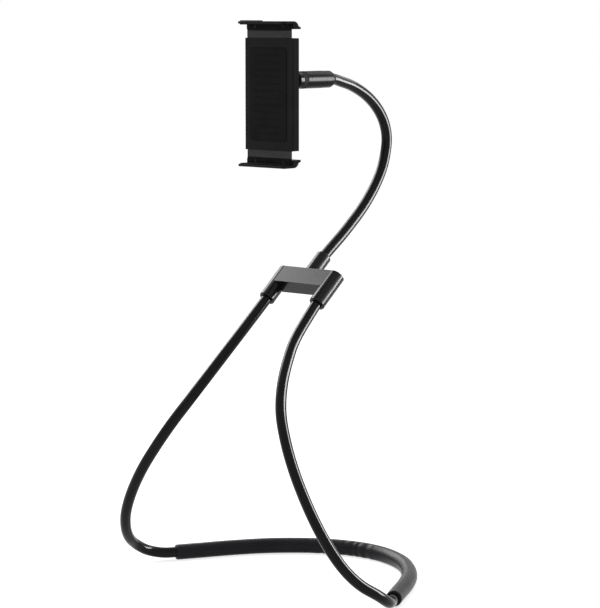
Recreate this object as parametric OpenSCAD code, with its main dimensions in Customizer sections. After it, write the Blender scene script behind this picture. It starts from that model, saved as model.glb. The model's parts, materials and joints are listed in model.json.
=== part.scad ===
// Neck phone holder: a bendable neck loop with a soft neck rest, a moulded hub,
// a bendable arm and a sprung clamp on a ball joint.
// Width runs along X, the clamp faces -Y, up is +Z, and the loop lies on the plane Z = 0.

/* [Neck loop] */
// Greatest width of the loop, measured between the tube's centres
loop_w = 358; // [300:1:400]
// Depth of the whole object over the tubes, from the chest bulge to the back of the arm
overall_depth = 282.8; // [260:0.1:320]
// Depth of the loop, from the chest bulge to the nape, between tube centres
loop_depth = 243.6; // [220:0.1:270]
// Outer diameter of the bendable tube
tube_d = 12; // [10:0.1:14]
// Bore of the bendable tube's sleeve, corner to corner
sleeve_bore = 6.4; // [5.5:0.1:7.5]
// Diameter of the soft alloy core wire, corner to corner
core_d = 5.8; // [4:0.1:5.9]

/* [Neck rest] */
// Outer diameter of the foam neck rest
pad_d = 17.4; // [16:0.1:22]
// Bore of the foam neck rest, corner to corner
pad_bore = 12.9; // [12.8:0.1:15]
// Depth of the flat that the foam presses itself where it rests
pad_flat = 0.5; // [0.3:0.05:0.8]
// Length over which the rest's ends are rounded
pad_round = 3; // [2:0.1:5]

/* [Hub] */
// Height of the middle of the hub
hub_z = 329.4; // [300:0.1:360]
// Distance of the middle of the hub behind the object's middle
hub_y = 2.6; // [0:0.1:10]
// Slope of the hub's sockets above the horizontal, in degrees
hub_tilt = 40; // [35:1:45]
// Distance between the two leg sockets
hub_pitch = 72.8; // [66:0.1:80]
// Whole length of the hub along its sockets
hub_len = 70; // [66:0.1:76]
// Length of the leg sockets in front of the block
leg_socket = 20; // [16:0.1:22]
// Length of the arm socket behind the block
arm_socket = 27; // [22:0.1:30]
// Outer diameter of the leg sockets
leg_socket_d = 18; // [17:0.1:20]
// Outer diameter of the arm socket
arm_socket_d = 17; // [16.8:0.1:19]
// Thickness of the hub's block
hub_t = 17.6; // [16.8:0.1:17.9]
// Depth to which a tube goes into its socket
tube_in = 36; // [30:0.1:38]
// Outer diameter of the crimped sleeve on a tube's end
crimp_d = 14.4; // [13.6:0.1:14.8]
// Length of the crimped sleeve on a tube's end
crimp_len = 6; // [4:0.1:8]
// Distance of a hub screw from the middle
hub_screw_x = 20; // [16:0.1:22]
// Diameter of a hub screw's thread
hub_screw_d = 3; // [2.5:0.1:3.5]
// Diameter of a hub screw's head
hub_head_d = 5.6; // [5:0.1:6.5]

/* [Arm head] */
// Height of the head's axis
head_z = 545.3; // [520:0.1:570]
// Distance of the ball's centre in front of the object's middle
ball_front = 12.5; // [6:0.1:16]
// Diameter of the ball
ball_d = 12; // [11:0.1:12.4]
// Thickness of the two liner rings
liner_t = 0.85; // [0.6:0.05:1]
// Diameter of the barrel and of the locking nut
barrel_d = 18.9; // [18.6:0.1:21]
// Length of the locking nut
nut_len = 14.3; // [13:0.1:16]
// Length of the locking nut's smooth nose
nut_nose = 7.2; // [5:0.1:8]
// Distance from the ball's centre to the locking nut's front face
nut_front = 7.4; // [7.2:0.1:8]
// Diameter of the nut's mouth at its front face
mouth_front_d = 14.4; // [13:0.1:15]
// Diameter of the nut's mouth where it meets the ball's seat
mouth_d = 10.4; // [9.8:0.1:10.8]
// Diameter of the barrel's neck that the nut turns on
neck_d = 16.2; // [15.6:0.1:16.6]
// Length of the barrel behind the nut
barrel_len = 28.9; // [24:0.1:34]
// Diameter of the ferrule behind the barrel
ferrule_d = 18.5; // [16:0.1:18.9]
// Length of the ferrule's round part
ferrule_len = 12.6; // [9:0.1:16]
// Length of the ferrule's tapered part
taper_len = 5.6; // [4:0.1:8]
// Diameter of the ferrule's thin end
taper_d = 13.6; // [13.2:0.1:15]
// Depth to which the tube goes into the barrel
barrel_in = 13.3; // [10:0.1:14]
// Diameter of the ball's stem
stem_d = 5; // [4:0.1:5]
// Length of the stud's flange
flange_t = 2; // [1.5:0.1:3]
// Diameter of the stud's flange
flange_d = 12; // [10:0.1:14]

/* [Clamp] */
// Width of the clamp
clamp_w = 67; // [64:0.1:80]
// Height of the clamp's housing
housing_h = 118.7; // [110:0.1:130]
// Distance of a soft jaw pad beyond the end of the housing as shown
jaw_reach = 14; // [13.6:0.1:20]
// Distance of the clamp's middle below the head's axis
clamp_drop = 14; // [12:0.1:18]
// Distance from the ball's centre to the plane of the held device's back
device_to_ball = 48.5; // [46:0.1:56]
// Distance from the device's back to the front of the housing
housing_front = 3.4; // [3.2:0.05:4]
// Distance from the device's back to the back of the housing
housing_back = 12.2; // [12:0.1:14]
// Wall thickness of the housing
housing_wall = 1.6; // [1.2:0.05:1.8]
// Length of the boss that carries the stud on the housing's back
boss_len = 16; // [12:0.1:20]
// Diameter of the spigot that centres the boss on the housing
spigot_d = 10; // [8:0.1:14]
// Diameter of the boss at its foot
boss_foot_d = 30; // [24:0.1:34]
// Diameter of the boss at its top
boss_top_d = 16; // [14:0.1:18]
// Distance from the device's back to the front of the cover
cover_front = 0.5; // [0.4:0.05:0.7]
// Thickness of the front cover
cover_t = 1.4; // [1.2:0.05:1.45]
// Thickness of the rubber back pad
back_pad_t = 1; // [0.8:0.05:1.1]
// Distance of the back pad's sides from the clamp's sides
back_pad_side = 7.5; // [4.5:0.1:12]
// Distance of the back pad's ends from the housing's ends
back_pad_margin = 10.35; // [6:0.05:18]
// Thickness of a slide plate
plate_t = 1.2; // [1:0.05:1.25]
// Play of a slide plate between the housing's sides
plate_side_gap = 0.3; // [0.2:0.05:0.6]
// Distance of a slide plate's inner end from the clamp's middle
plate_in = 10; // [9:0.1:12]
// Travel of a jaw outward from where it is shown
jaw_out = 27; // [15:0.1:27]
// Travel of a jaw inward from where it is shown
jaw_inward = 7; // [4:0.1:7]
// Distance of a guide boss from the clamp's side
guide_side = 6.9; // [6.5:0.1:7.5]
// Distance of a guide boss from the housing's end
guide_depth = 16.35; // [15.8:0.05:16.8]
// Diameter of a guide boss
guide_d = 4.6; // [4:0.1:4.8]

/* [Jaws] */
// Thickness of a jaw's shelf
jaw_t = 2.65; // [2.2:0.05:3.5]
// Distance a jaw reaches in front of the device's back
jaw_front = 12.5; // [10:0.1:16]
// Radius of the curl at the back of a jaw
curl_r = 8.2; // [7.8:0.1:9]
// Height of a jaw from its shelf's outer face to its lip's underside
jaw_drop = 8.3; // [8:0.1:8.6]
// Distance the finger lip reaches behind the device's back
lip_back = 17.5; // [15:0.1:20]
// Thickness of the finger lip
lip_t = 1.9; // [1.5:0.1:2.4]
// Height of the raised rib on the upper jaw
rib_h = 0.9; // [0.5:0.1:1.2]
// Width of the raised rib on the upper jaw
rib_w = 27; // [20:0.1:30]
// Depth of the raised rib on the upper jaw
rib_d = 6; // [4:0.1:8]
// Thickness of the soft jaw pads
jaw_pad_t = 1; // [0.8:0.05:1.2]
// Distance of a soft jaw pad's sides from the clamp's sides
jaw_pad_side = 3; // [2:0.1:6]
// Height of the soft jaw pad's back flap
flap_h = 6.2; // [4:0.1:6.4]

/* [Rack and pinion] */
// Size of the gear teeth, as the pitch diameter over the tooth count
gear_module = 1.5; // [1.4:0.05:1.5]
// Thickness of the pinion
pinion_t = 3.2; // [2.6:0.1:3.2]
// Diameter of the pinion's pin
pin_d = 4; // [3:0.1:5]
// Width of a rack's bar behind its teeth
rack_bar = 3.4; // [3:0.1:3.6]
// Thickness of a rack
rack_t = 3.5; // [3:0.1:3.6]
// Reach of a rack past the clamp's middle
rack_past = 33; // [32:0.1:36]
// Reach of a rack on its own jaw's side of the middle
rack_own = 29; // [26:0.1:29.5]
// Outer diameter of a jaw spring
spring_d = 4; // [3.8:0.1:4.2]
// Wire diameter of a jaw spring
wire_d = 0.6; // [0.5:0.05:0.7]
// Distance of a spring's fixed post from the housing's end
post_depth = 8.35; // [6:0.05:10]
// Diameter of a spring post
post_d = 2.4; // [2:0.1:2.6]

/* [Hidden] */

// Fits: running clearance, seated clearance, the play of sliding parts, and the cutters' overrun
run_gap = 0.05;
seat_gap = 0.1;
slide_gap = 0.15;
over = 1;
fine = 64;
small = 32;

// Places along the loop
steps = 2;
half_w = loop_w / 2;
reach_y = (overall_depth - tube_d) / 2;
pad_z = pad_d / 2 - pad_flat;
leg_mouth = hub_point(-hub_len / 2, hub_pitch / 2);
arm_mouth = hub_point(hub_len / 2, 0);
sockets_dir = [0, cos(hub_tilt), sin(hub_tilt)];

// The right leg and half of the nape, from the hub to the middle of the nape, as shares of the
// half width, of the loop's depth behind the bulge, and of the height from the nape to the socket
loop_shares = [
    [0.220, 0.314, 0.895], [0.249, 0.238, 0.827], [0.299, 0.158, 0.743], [0.369, 0.092, 0.656],
    [0.461, 0.046, 0.568], [0.560, 0.016, 0.478], [0.662, 0.001, 0.387], [0.760, 0.004, 0.294],
    [0.844, 0.026, 0.209], [0.906, 0.066, 0.142], [0.956, 0.120, 0.091], [0.998, 0.189, 0.052],
    [0.993, 0.259, 0.018], [0.945, 0.324, 0.002], [0.897, 0.383, 0], [0.822, 0.485, 0],
    [0.736, 0.605, 0], [0.632, 0.726, 0], [0.502, 0.834, 0], [0.350, 0.923, 0],
    [0.172, 0.982, 0], [0, 1, 0]
];
// The arm, as shares of its reach behind its socket and of its rise to the head's axis
arm_shares = [
    [0.267, 0.103], [0.424, 0.169], [0.575, 0.237], [0.712, 0.311], [0.830, 0.390],
    [0.925, 0.474], [0.981, 0.563], [1.000, 0.655], [0.949, 0.747], [0.830, 0.831],
    [0.657, 0.902], [0.443, 0.956], [0.260, 0.984]
];
// Where the leg ends, where the shoulder bend ends and where the rest starts, as shares of the way
// from the hub to the middle of the nape
leg_share = 0.5;
shoulder_share = 0.64;
rest_share = 0.68;
// Where each bending stretch of the arm starts and ends, as shares of the way to the head
low_bend_shares = [0, 0.14];
side_bend_shares = [0.21, 0.43];
top_bend_shares = [0.5, 0.71];

straight_out = 2;
lead = 12;
half_control = concat(
    [leg_mouth - sockets_dir * straight_out],
    [for (s = loop_shares) [s.x * half_w, s.y * loop_depth - reach_y,
        pad_z + s.z * (leg_mouth.z - pad_z)]]
);
half_count = len(half_control);
loop_control = concat(half_control, [for (i = [half_count - 2:-1:0]) mirror_x(half_control[i])]);
loop_path = concat(
    [leg_mouth + sockets_dir * tube_in],
    smooth(loop_control, leg_mouth + sockets_dir * lead, mirror_x(leg_mouth + sockets_dir * lead)),
    [mirror_x(leg_mouth + sockets_dir * tube_in)]
);
arm_reach = reach_y - arm_mouth.y;
arm_rise = head_z - arm_mouth.z;
ball_y = -ball_front;
nut_y = ball_y - nut_front;
barrel_y = nut_y + nut_len;
ferrule_y = barrel_y + barrel_len;
head_y = ferrule_y + ferrule_len + taper_len;
arm_path = concat(
    [arm_mouth - sockets_dir * tube_in],
    smooth(
        concat([arm_mouth + sockets_dir * straight_out],
            [for (s = arm_shares) [0, arm_mouth.y + s.x * arm_reach, arm_mouth.z + s.y * arm_rise]],
            [[0, head_y + straight_out, head_z]]),
        arm_mouth - sockets_dir * lead, [0, head_y - lead, head_z]),
    [[0, ferrule_y - barrel_in, head_z]]
);

// Sides of a tube's sleeve, of its bore and core, and of the neck rest
tube_sides = 16;
rest_sides = 20;

// Gear sizes
pinion_teeth = 12;
pressure_angle = 20;
pitch_r = gear_module * pinion_teeth / 2;
gear_pitch = PI * gear_module;
tooth_play_share = 0.06;
rack_tip_share = 0.7;
pinion_tip_share = 1;
root_gap_share = 0.25;

// Clamp places, from the plane of the device's back and the clamp's middle
device_y = ball_y - device_to_ball;
clamp_z = head_z - clamp_drop;
cover_back = cover_front + cover_t;
plate_y = cover_back + slide_gap;
plate_back = plate_y + plate_t;
cavity_back = housing_back - housing_wall;
inner_w = clamp_w - 2 * housing_wall;
plate_w = inner_w - 2 * plate_side_gap;
back_pad_w = clamp_w - 2 * back_pad_side;
back_pad_h = housing_h - 2 * back_pad_margin;
jaw_pad_w = clamp_w - 2 * jaw_pad_side;
guide_x = clamp_w / 2 - guide_side;
guide_z = housing_h / 2 - guide_depth;
post_z = housing_h / 2 - post_depth;
jaw_gap = housing_h + 2 * jaw_reach;
jaw_in = jaw_gap / 2 + jaw_pad_t;
jaw_outer = jaw_in + jaw_t;
block_low = jaw_outer - jaw_drop;
jaw_screw_x = 20;
jaw_screw_d = 2.2;
jaw_head_d = 4;
jaw_head_t = 0.8;
jaw_screw_len = 5;
jaw_screw_z = (block_low + jaw_in) / 2;
clamp_screw_d = 2;
clamp_head_d = 3.8;
clamp_head_t = 1.2;
guide_join = 6.4;
screw_rest = 0.3;
stud_thread_d = 5;
stud_nut_w = 8;
stud_nut_t = 3;
pin_head_d = 5.4;
pin_head_t = 0.8;
pinion_front = 3.6;
pin_boss_d = 8;
corner_r = 4;
edge_r = 1;

// Vectors and smooth curves
function unit(v) = v / norm(v);
function mirror_x(p) = [-p.x, p.y, p.z];
function hub_point(u, x) = [x, hub_y + u * cos(hub_tilt), hub_z + u * sin(hub_tilt)];
function blend(a, b, c, d, t) = (2 * b + (c - a) * t + (2 * a - 5 * b + 4 * c - d) * t * t
    + (3 * b - a - 3 * c + d) * t * t * t) / 2;
function smooth(p, before, after) = let (n = len(p)) concat(
    [for (i = [0:n - 2]) for (j = [0:steps - 1])
        blend(i == 0 ? before : p[i - 1], p[i], p[i + 1], i == n - 2 ? after : p[i + 2], j / steps)],
    [p[n - 1]]
);
function part_of(path, from, to) = [for (i = [from:to]) path[i]];
function repeat(value, n) = [for (i = [1:n]) value];
function heading(p, i) = unit(p[min(i + 1, len(p) - 1)] - p[max(i - 1, 0)]);
function ring(p, i, r, n, up) = let (t = heading(p, i), a = unit(cross(t, up)), b = cross(t, a))
    [for (k = [0:n - 1]) p[i] + r * (cos(360 * k / n) * b + sin(360 * k / n) * a)];
// Places in the loop's and in the arm's path, from a share of the way along them
function loop_place(share) = 1 + steps * round(share * (half_count - 1));
function arm_place(share) = 1 + steps * round(share * (len(arm_shares) + 1));

// Triangles between two rings of n points, from the point numbers at which they start
function band(a, b, n, out) = [for (k = [0:n - 1]) let (m = (k + 1) % n)
    each out ? [[a + k, a + m, b + m], [a + k, b + m, b + k]]
             : [[a + k, b + m, a + m], [a + k, b + k, b + m]]];
// Triangles of the flat end between an outer ring and a bore with half as many points
function rim(a, b, n, front) = [for (k = [0:n / 2 - 1])
    let (p = a + 2 * k, q = p + 1, r = a + (2 * k + 2) % n, s = b + k, t = b + (k + 1) % (n / 2))
    each front ? [[p, s, q], [q, s, t], [q, t, r]] : [[p, q, s], [q, t, s], [q, r, t]]];
function cap(a, n, front) = [for (k = [1:n - 2]) front ? [a, a + k + 1, a + k] : [a, a + k, a + k + 1]];

// A sleeve along a stretch of a path, with an outer radius for each place and one bore radius,
// pressed flat where it would reach below the plane Z = 0
module sleeve(path, from, to, radii, bore_r, n, up) {
    count = to - from + 1;
    outer = [for (i = [from:to]) each ring(path, i, radii[i], n, up)];
    inner = [for (i = [from:to]) each ring(path, i, bore_r, n / 2, up)];
    first = count * n;
    points = [for (p = concat(outer, inner)) [p.x, p.y, max(p.z, 0)]];
    faces = concat(
        [for (i = [0:count - 2]) each band(i * n, (i + 1) * n, n, true)],
        [for (i = [0:count - 2]) each band(first + i * n / 2, first + (i + 1) * n / 2, n / 2, false)],
        rim(0, first, n, true),
        rim((count - 1) * n, first + (count - 1) * n / 2, n, false)
    );
    polyhedron(points, faces);
}
// A wire along a path
module wire(path, r, n, up) {
    count = len(path);
    points = [for (i = [0:count - 1]) each ring(path, i, r, n, up)];
    faces = concat(
        [for (i = [0:count - 2]) each band(i * n, (i + 1) * n, n, true)],
        cap(0, n, true),
        cap((count - 1) * n, n, false)
    );
    polyhedron(points, faces);
}
module tube(path, from, to, up) {
    color([0.17, 0.17, 0.19])
        sleeve(path, from, to, repeat(tube_d / 2, len(path)), sleeve_bore / 2, tube_sides, up);
}
module loop_tube(from, to) {
    tube(loop_path, from, to, [0, 0, 1]);
}
module arm_tube(from, to) {
    tube(arm_path, from, to, [1, 0, 0]);
}

// A round bar or bore along Y
module bar(d, from, to, far_d = 0) {
    translate([0, from, 0]) rotate([-90, 0, 0])
        cylinder(d1 = d, d2 = far_d == 0 ? d : far_d, h = to - from, $fn = fine);
}
module small_bar(d, from, to) {
    translate([0, from, 0]) rotate([-90, 0, 0]) cylinder(d = d, h = to - from, $fn = small);
}
module both_sides() {
    children();
    mirror([1, 0, 0]) children();
}

// Neck loop
module neck_rest() color([0.2, 0.195, 0.21]) {
    rest = part_of(loop_path, loop_place(rest_share), len(loop_path) - 1 - loop_place(rest_share));
    count = len(rest);
    t = unit(rest[1] - rest[0]);
    path = concat(
        [rest[0], rest[0] + t * pad_round / 3, rest[0] + t * pad_round],
        part_of(rest, 1, count - 2),
        [for (d = [pad_round, pad_round / 3, 0]) mirror_x(rest[0] + t * d)]
    );
    end_r = (pad_d + pad_bore) / 4;
    shoulder_r = (end_r + pad_d) / 3;
    radii = concat([end_r, shoulder_r], repeat(pad_d / 2, count), [shoulder_r, end_r]);
    sleeve(path, 0, len(path) - 1, radii, pad_bore / 2, rest_sides, [0, 0, 1]);
}
module neck_tube()
    loop_tube(loop_place(shoulder_share), len(loop_path) - 1 - loop_place(shoulder_share));
module neck_core() color([0.72, 0.72, 0.74]) wire(loop_path, core_d / 2, tube_sides / 2, [0, 0, 1]);
module right_bend_tube() loop_tube(loop_place(leg_share), loop_place(shoulder_share));
module left_bend_tube() mirror([1, 0, 0]) right_bend_tube();
module right_leg_tube() loop_tube(0, loop_place(leg_share));
module left_leg_tube() mirror([1, 0, 0]) right_leg_tube();

// Hub, in its own frame: Y runs along the sockets and Z is square to the lit face
module in_hub() {
    translate([0, hub_y, hub_z]) rotate([hub_tilt, 0, 0]) children();
}
hub_low = -hub_len / 2;
hub_top = hub_len / 2;
block_from = hub_low + leg_socket;
block_to = hub_top - arm_socket;
block_mid = (block_from + block_to) / 2;
mouth_edge = 0.8;
hub_head_t = 2.4;
hub_screw_len = 13;
hub_screw_end = 0.6;
hub_room = 2 * hub_len;

module hub_body() {
    translate([-hub_pitch / 2, block_from, -hub_t / 2]) cube([hub_pitch, block_to - block_from, hub_t]);
    both_sides() translate([hub_pitch / 2, 0, 0]) {
        bar(leg_socket_d - 2 * mouth_edge, hub_low, hub_low + mouth_edge, leg_socket_d);
        bar(leg_socket_d, hub_low + mouth_edge, block_to);
    }
    bar(arm_socket_d, block_mid, hub_top - mouth_edge);
    bar(arm_socket_d, hub_top - mouth_edge, hub_top, arm_socket_d - 2 * mouth_edge);
}
module hub_cuts() {
    both_sides() translate([hub_pitch / 2, 0, 0]) {
        bar(tube_d + 2 * seat_gap, hub_low - over, hub_low + tube_in + seat_gap);
        bar(crimp_d + 2 * seat_gap, hub_low + tube_in - crimp_len - seat_gap,
            hub_low + tube_in + seat_gap);
    }
    bar(tube_d + 2 * seat_gap, hub_top - tube_in - seat_gap, hub_top + over);
    bar(crimp_d + 2 * seat_gap, hub_top - tube_in - seat_gap, hub_top - tube_in + crimp_len + seat_gap);
    both_sides() translate([hub_screw_x, block_mid, 0]) {
        translate([0, 0, -hub_t / 2 - over])
            cylinder(d = hub_head_d + 2 * slide_gap, h = over + hub_head_t + slide_gap, $fn = small);
        translate([0, 0, -hub_t / 2])
            cylinder(d = hub_screw_d + 2 * run_gap, h = hub_screw_len + hub_screw_end, $fn = small);
    }
}
module hub_half(side) {
    intersection() {
        difference() {
            hub_body();
            hub_cuts();
        }
        translate([-hub_room / 2, -hub_room / 2, side > 0 ? 0 : -hub_room]) cube(hub_room);
    }
}
module hub_front_shell() color([0.2, 0.2, 0.21]) {
    in_hub() hub_half(1);
}
module hub_rear_shell() color([0.18, 0.18, 0.19]) {
    in_hub() hub_half(-1);
}
module screw(d, head_d, head_t, len) {
    difference() {
        union() {
            cylinder(d = head_d, h = head_t, $fn = small);
            cylinder(d = d, h = len, $fn = small);
        }
        translate([0, 0, -over]) cylinder(d = head_d / 2, h = over + head_t / 2, $fn = 6);
    }
}
module hub_screws() color([0.6, 0.6, 0.62]) {
    in_hub() both_sides() translate([hub_screw_x, block_mid, -hub_t / 2 + slide_gap])
        screw(hub_screw_d, hub_head_d, hub_head_t, hub_screw_len);
}
module crimp() {
    difference() {
        bar(crimp_d, 0, crimp_len);
        bar(tube_d + 2 * run_gap, -over, crimp_len + over);
    }
}
module right_leg_crimp() color([0.7, 0.7, 0.72]) {
    in_hub() translate([hub_pitch / 2, hub_low + tube_in - crimp_len, 0]) crimp();
}
module left_leg_crimp() {
    mirror([1, 0, 0]) right_leg_crimp();
}
module arm_crimp() color([0.7, 0.7, 0.72]) {
    in_hub() translate([0, hub_top - tube_in, 0]) crimp();
}

// Arm
module arm_root_tube() arm_tube(0, arm_place(low_bend_shares[0]));
module arm_low_bend_tube() arm_tube(arm_place(low_bend_shares[0]), arm_place(low_bend_shares[1]));
module arm_low_tube() arm_tube(arm_place(low_bend_shares[1]), arm_place(side_bend_shares[0]));
module arm_side_bend_tube() arm_tube(arm_place(side_bend_shares[0]), arm_place(side_bend_shares[1]));
module arm_mid_tube() arm_tube(arm_place(side_bend_shares[1]), arm_place(top_bend_shares[0]));
module arm_top_bend_tube() arm_tube(arm_place(top_bend_shares[0]), arm_place(top_bend_shares[1]));
module arm_top_tube() arm_tube(arm_place(top_bend_shares[1]), len(arm_path) - 1);
module arm_core() color([0.72, 0.72, 0.74]) wire(arm_path, core_d / 2, tube_sides / 2, [1, 0, 0]);

// Head, in a frame at the height of its axis
module at_head() {
    translate([0, 0, head_z]) children();
}
module at_ball() {
    translate([0, ball_y, head_z]) children();
}
liner_r = ball_d / 2 + run_gap + liner_t;
seat_r = liner_r + run_gap;
neck_front = ball_y - 1;
module arm_ferrule() color([0.19, 0.19, 0.2]) at_head() {
    difference() {
        union() {
            bar(ferrule_d, ferrule_y, ferrule_y + ferrule_len);
            bar(ferrule_d, ferrule_y + ferrule_len, head_y, taper_d);
        }
        bar(tube_d + 2 * run_gap, ferrule_y - over, head_y + over);
    }
}
module socket_barrel() color([0.22, 0.22, 0.23]) {
    difference() {
        at_head() union() {
            bar(barrel_d, barrel_y, ferrule_y);
            bar(neck_d, neck_front, barrel_y + over);
        }
        at_head() bar(tube_d + 2 * seat_gap, ferrule_y - barrel_in - seat_gap, ferrule_y + over);
        at_head() bar(2 * seat_r, neck_front - over, ball_y);
        at_ball() sphere(r = seat_r, $fn = fine);
    }
}
flute_count = 24;
flute_d = 1.6;
flute_depth = 0.35;
nose_r = 2.4;
throat_angle = asin(mouth_d / 2 / seat_r);
seat_end_angle = acos((ball_y - neck_front + slide_gap) / seat_r);
seat_steps = 6;
nut_back = barrel_y - slide_gap;
module locking_nut() color([0.16, 0.16, 0.17]) at_head() {
    difference() {
        rotate([-90, 0, 0]) rotate_extrude($fn = fine) polygon(concat(
            [for (a = [-90:15:0])
                [barrel_d / 2 - nose_r + nose_r * cos(a), nut_y + nose_r + nose_r * sin(a)]],
            [[barrel_d / 2, nut_back], [neck_d / 2 + run_gap, nut_back],
             [neck_d / 2 + run_gap, neck_front - slide_gap]],
            [for (i = [seat_steps:-1:0])
                let (a = throat_angle + (seat_end_angle - throat_angle) * i / seat_steps)
                [seat_r * sin(a), ball_y - seat_r * cos(a)]],
            [[mouth_front_d / 2, nut_y]]
        ));
        for (k = [0:flute_count - 1]) rotate([0, 360 * k / flute_count, 0])
            translate([barrel_d / 2 + flute_d / 2 - flute_depth, 0, 0])
                small_bar(flute_d, nut_y + nut_nose, nut_back + over);
    }
}
// The liners are bands of a thin ball, between two angles from the ball's front
front_liner_angles = [50, 75];
rear_liner_angles = [100, 160];
liner_angle_step = 5;
module liner(angles) {
    rotate([90, 0, 0]) rotate_extrude($fn = fine) polygon(concat(
        [for (a = [angles[0]:liner_angle_step:angles[1]]) liner_r * [sin(a), cos(a)]],
        [for (a = [angles[1]:-liner_angle_step:angles[0]]) (liner_r - liner_t) * [sin(a), cos(a)]]
    ));
}
module front_ball_liner() color([0.85, 0.85, 0.82]) at_ball() liner(front_liner_angles);
module rear_ball_liner() color([0.85, 0.85, 0.82]) at_ball() liner(rear_liner_angles);
module ball_stud() color([0.75, 0.75, 0.77]) at_ball() {
    sphere(d = ball_d, $fn = fine);
    bar(stem_d, -boss_end, 0);
    bar(flange_d, -boss_end, flange_t - boss_end);
    bar(stud_thread_d, stud_end - device_to_ball, -boss_end);
}
boss_end = device_to_ball - housing_back - boss_len;
stud_end = cavity_back - stud_nut_t - screw_rest;

// Clamp, in a frame at the plane of the device's back and the clamp's middle
module in_clamp() {
    translate([0, device_y, clamp_z]) children();
}
// The lower pieces are the upper ones turned half round about the clamp's middle
module turned() {
    translate([0, 0, 2 * clamp_z]) rotate([0, 180, 0]) children();
}
module corners() {
    for (z = [-guide_z, guide_z]) both_sides() translate([guide_x, 0, z]) children();
}
function rounded(w, h, r) = [for (q = [0:3]) for (a = [0:15:90])
    [(q == 0 || q == 3 ? 1 : -1) * (w / 2 - r) + r * cos(a + 90 * q),
     (q < 2 ? 1 : -1) * (h / 2 - r) + r * sin(a + 90 * q)]];
module slab(w, h, r, from, to) {
    translate([0, to, 0]) rotate([90, 0, 0]) linear_extrude(to - from) polygon(rounded(w, h, r));
}
module clamp_housing() color([0.15, 0.15, 0.16]) in_clamp() {
    difference() {
        union() {
            difference() {
                slab(clamp_w, housing_h, edge_r, housing_front, housing_back);
                slab(inner_w, housing_h - 2 * housing_wall, edge_r, housing_front - over, cavity_back);
            }
            corners() small_bar(guide_d, guide_join, cavity_back + over);
            small_bar(pin_boss_d, pinion_front + pinion_t + seat_gap, cavity_back + over);
            for (side = [-1, 1]) translate([side * spring_x, 0, -side * post_z])
                small_bar(post_d, spring_y - spring_d / 2, cavity_back + over);
        }
        corners() {
            small_bar(clamp_screw_d + 2 * seat_gap, guide_join - over, housing_back + over);
            small_bar(clamp_head_d + 2 * seat_gap, housing_back - clamp_head_t - screw_rest,
                housing_back + over);
        }
        small_bar(pin_d + 2 * run_gap, pinion_front, cavity_back + housing_wall / 2);
        translate([0, 0, clamp_drop]) {
            small_bar(stud_thread_d + 2 * run_gap, cavity_back - over, housing_back + over);
            small_bar(spigot_d + 2 * run_gap, spigot_front, housing_back + over);
        }
    }
}
spigot_front = housing_back - housing_wall / 2;
module stud_boss() color([0.15, 0.15, 0.16]) in_clamp() translate([0, 0, clamp_drop])
    difference() {
        union() {
            bar(boss_foot_d, housing_back, housing_back + boss_len, boss_top_d);
            small_bar(spigot_d, spigot_front + run_gap, housing_back + over);
        }
        small_bar(stud_thread_d + 2 * run_gap, spigot_front - over, housing_back + boss_len + over);
    }
spring_y = plate_back + spring_d / 2 + 2 * screw_rest;
module clamp_cover() color([0.17, 0.17, 0.18]) in_clamp() {
    difference() {
        union() {
            slab(clamp_w - housing_wall / 2, housing_h, edge_r, cover_front, cover_back);
            both_sides() translate([plate_w / 2 + slide_gap, cover_front, -housing_h / 2])
                cube([(clamp_w - housing_wall / 2 - plate_w) / 2 - slide_gap, housing_front - cover_front,
                    housing_h]);
            corners() small_bar(guide_d, cover_back - over / 2, guide_join);
        }
        slab(back_pad_w + 2 * slide_gap, back_pad_h + 2 * slide_gap, corner_r, cover_front - over,
            back_pad_t);
        corners() small_bar(clamp_screw_d + 2 * run_gap, cover_back, guide_join + over);
    }
}
groove_count = 12;
groove_pitch_share = 1 / (groove_count + 1);
groove_h = 1;
module back_pad() color([0.12, 0.12, 0.12]) in_clamp() {
    difference() {
        slab(back_pad_w, back_pad_h, corner_r, 0, back_pad_t);
        for (k = [1:groove_count]) translate([-back_pad_w * 3 / 8, -over,
                back_pad_h * (k * groove_pitch_share - 1 / 2) - groove_h / 2])
            cube([back_pad_w * 3 / 4, over + back_pad_t / 4, groove_h]);
    }
}
module clamp_screws() color([0.6, 0.6, 0.62]) in_clamp() corners() {
    translate([0, housing_back - screw_rest, 0]) rotate([90, 0, 0])
        screw(clamp_screw_d, clamp_head_d, clamp_head_t,
            housing_back - screw_rest - cover_back - screw_rest);
}
module stud_nut() color([0.7, 0.7, 0.72]) in_clamp() translate([0, cavity_back - stud_nut_t, clamp_drop])
    difference() {
        rotate([-90, 0, 0]) cylinder(d = stud_nut_w / cos(30), h = stud_nut_t, $fn = 6);
        small_bar(stud_thread_d + 2 * run_gap, -over, stud_nut_t + over);
    }
module pinion_pin() color([0.7, 0.7, 0.72]) in_clamp() {
    small_bar(pin_d, pinion_front - seat_gap, cavity_back + housing_wall / 2 - seat_gap);
    small_bar(pin_head_d, pinion_front - seat_gap - pin_head_t, pinion_front - seat_gap);
}

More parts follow.
